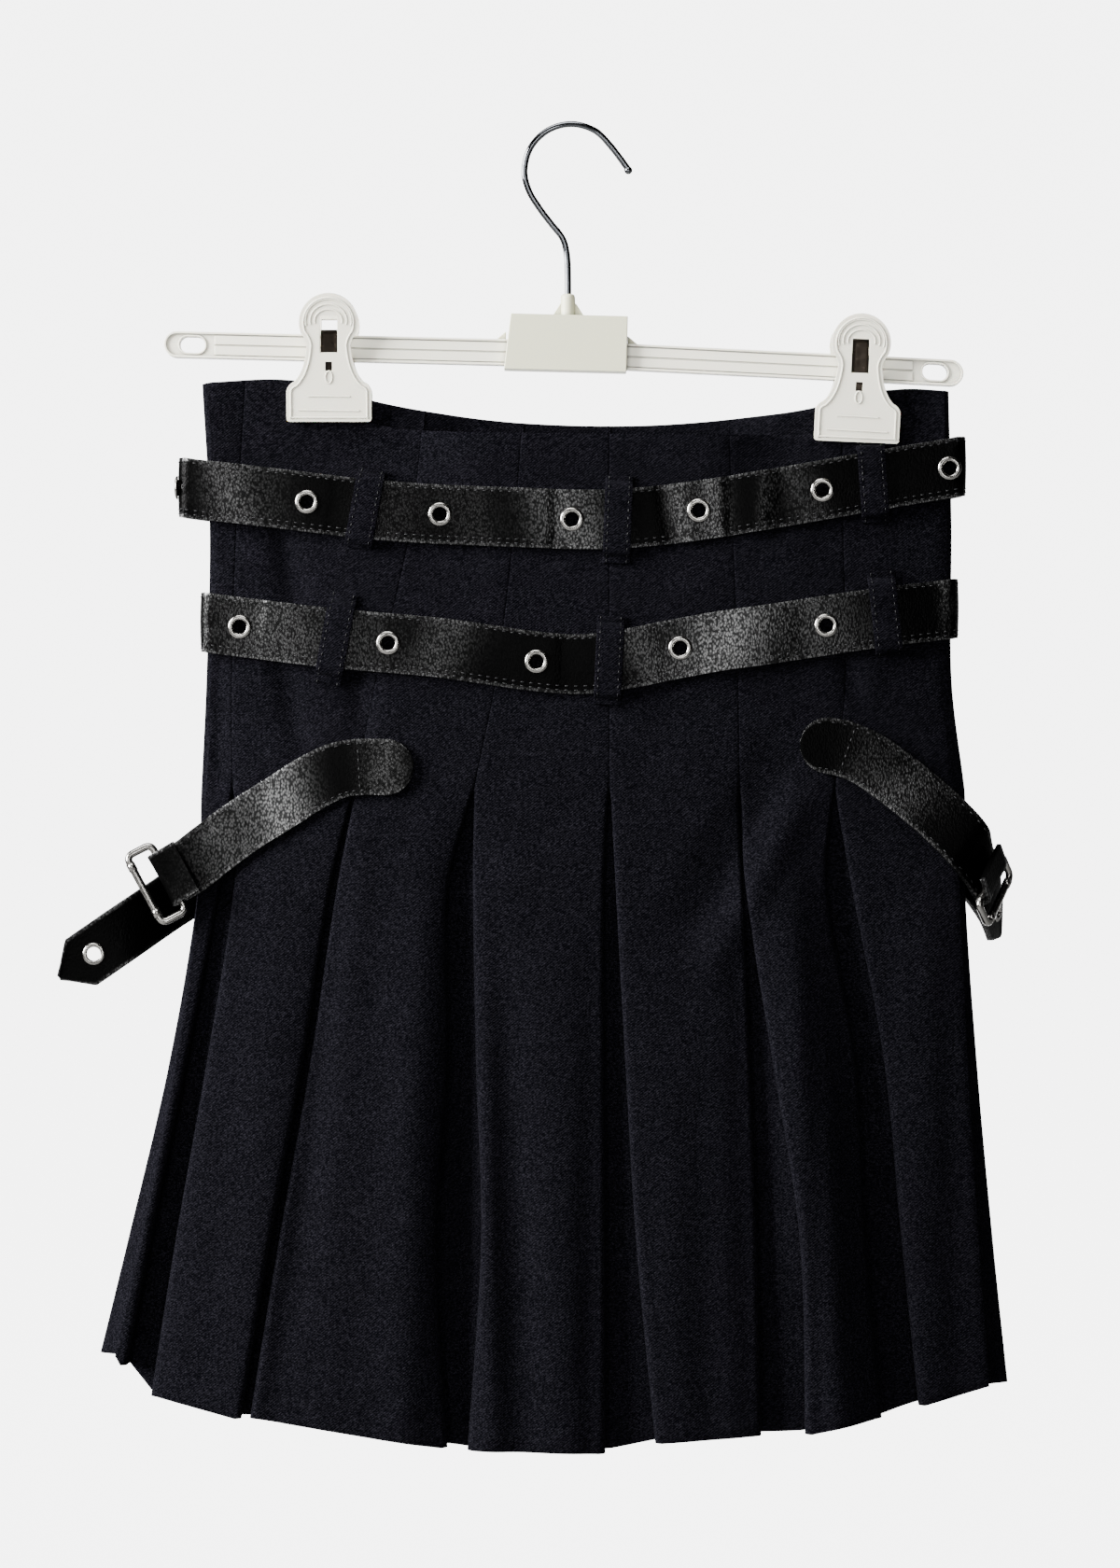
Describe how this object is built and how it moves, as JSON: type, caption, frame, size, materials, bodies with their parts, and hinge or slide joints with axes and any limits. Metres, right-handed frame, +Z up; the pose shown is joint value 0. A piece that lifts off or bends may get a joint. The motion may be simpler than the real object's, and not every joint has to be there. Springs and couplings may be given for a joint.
{
  "type": "pleated belted skirt on a clip hanger",
  "caption": "Short pleated skirt of dark twill with eyelet belts through loops and buckled hip straps, held by the waist on a clip hanger with a wire hook.",
  "frame": {"origin": "inside top of the hook's bend, where a rail carries the hanger", "axes": "+Z up, +X to the viewer's right, -Y the skirt's front"},
  "size_m": [0.4551, 0.0828, 0.6299],
  "materials": {
    "twill": "matt fine diagonal twill with pale flecks",
    "leather": "black pebble grain with a soft sheen",
    "nickel": "bright polished nickel plate",
    "plastic": "smooth off-white moulding",
    "block": "satin grey-cream moulding",
    "chrome": "polished plated wire",
    "spring": "dark spring steel"
  },
  "bodies": {
    "root": {"back_gore_1": "twill", "back_gore_2": "twill", "back_gore_3": "twill", "back_gore_4": "twill", "back_gore_5": "twill", "belt_buckle_lower": "nickel", "belt_buckle_upper": "nickel", "belt_lower": "leather", "belt_prong_lower": "nickel", "belt_prong_upper": "nickel", "belt_upper": "leather", "clip_left_back": "plastic", "clip_left_front": "plastic", "clip_left_spring": "spring", "clip_right_back": "plastic", "clip_right_front": "plastic", "clip_right_spring": "spring", "eyelet_back_left": "nickel", "eyelet_back_right": "nickel", "eyelet_lower_1": "nickel", "eyelet_lower_2": "nickel", "eyelet_lower_3": "nickel", "eyelet_lower_4": "nickel", "eyelet_lower_5": "nickel", "eyelet_upper_1": "nickel", "eyelet_upper_2": "nickel", "eyelet_upper_3": "nickel", "eyelet_upper_4": "nickel", "eyelet_upper_5": "nickel", "eyelet_upper_6": "nickel", "eyelet_upper_7": "nickel", "front_gore_1": "twill", "front_gore_2": "twill", "front_gore_3": "twill", "front_gore_4": "twill", "front_gore_5": "twill", "hanger_bar": "plastic", "hanger_block": "block", "hip_buckle_left": "nickel", "hip_buckle_right": "nickel", "hook": "chrome", "loop_back_lower_left": "twill", "loop_back_lower_right": "twill", "loop_back_upper_left": "twill", "loop_back_upper_right": "twill", "loop_front_lower_centre": "twill", "loop_front_lower_left": "twill", "loop_front_lower_right": "twill", "loop_front_upper_centre": "twill", "loop_front_upper_left": "twill", "loop_front_upper_right": "twill", "side_gore_left": "twill", "side_gore_right": "twill", "strap_back_left": "leather", "strap_back_right": "leather", "strap_front_left": "leather", "strap_front_right": "leather"}
  },
  "joints": []
}
